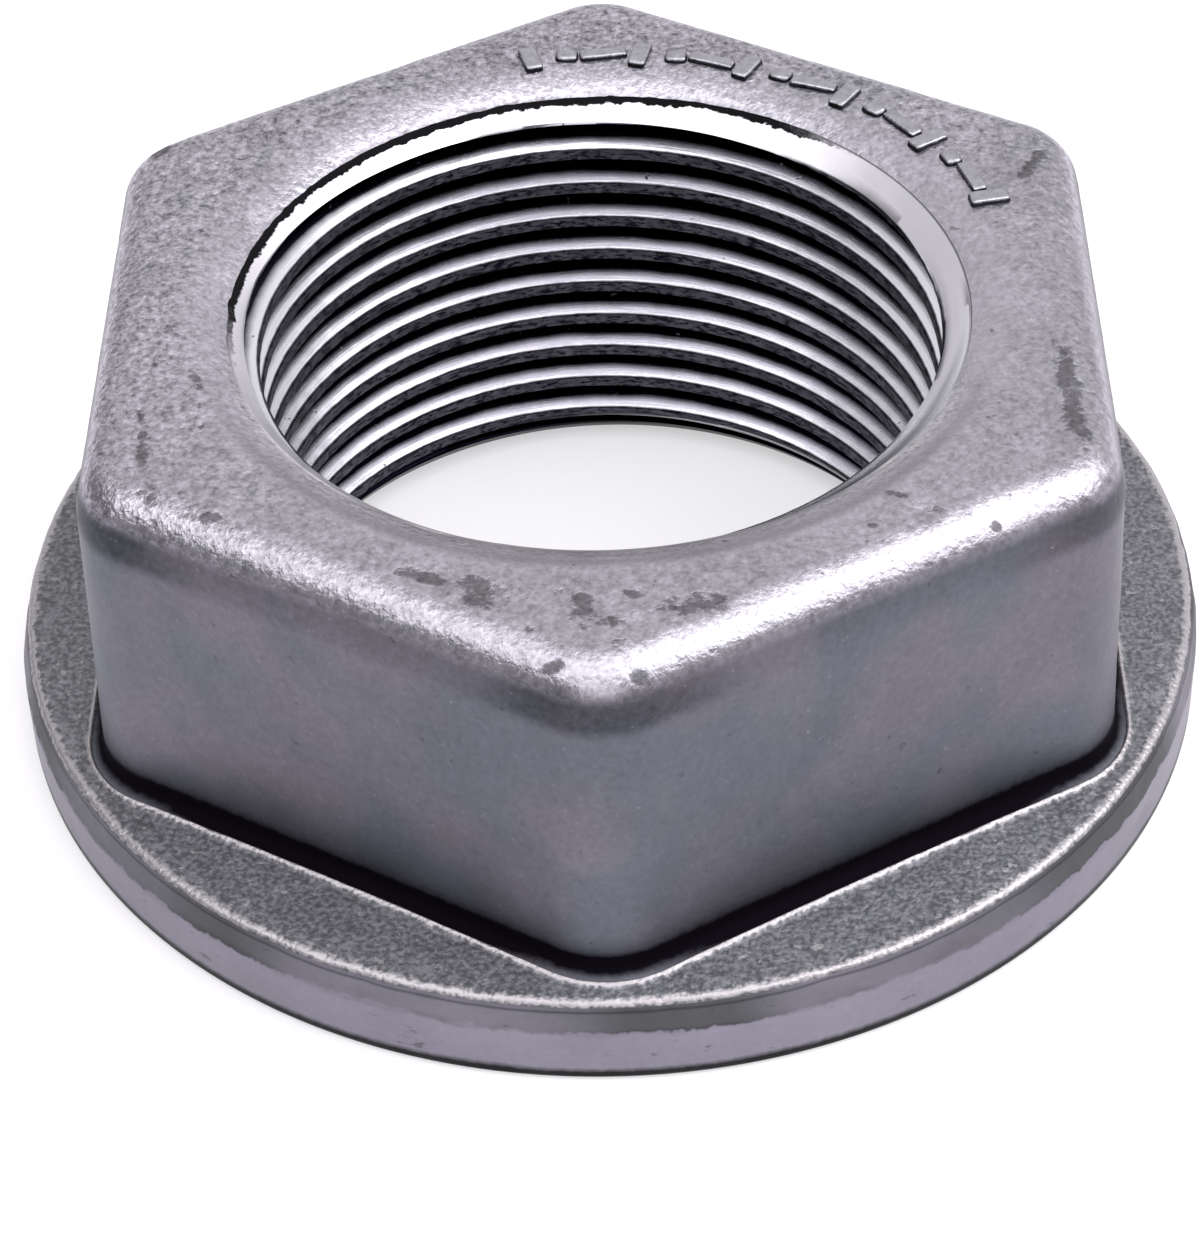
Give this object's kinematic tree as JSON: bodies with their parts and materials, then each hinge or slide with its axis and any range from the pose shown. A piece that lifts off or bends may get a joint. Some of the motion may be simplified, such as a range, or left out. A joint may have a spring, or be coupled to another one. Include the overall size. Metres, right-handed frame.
{
  "type": "hexagon flange nut",
  "caption": "Forged hexagon nut with an integral round flange and a metric fine internal thread.",
  "frame": {"origin": "centre of the bearing face under the flange, on the thread's axis", "axes": "+Z along the thread's axis, from the bearing face towards the top of the hexagon; +Y towards one of the hexagon's corners"},
  "size_m": [0.056, 0.056, 0.0213],
  "materials": {
    "nut_steel": "satin"
  },
  "bodies": {
    "root": {"flange_nut": "nut_steel"}
  },
  "joints": []
}
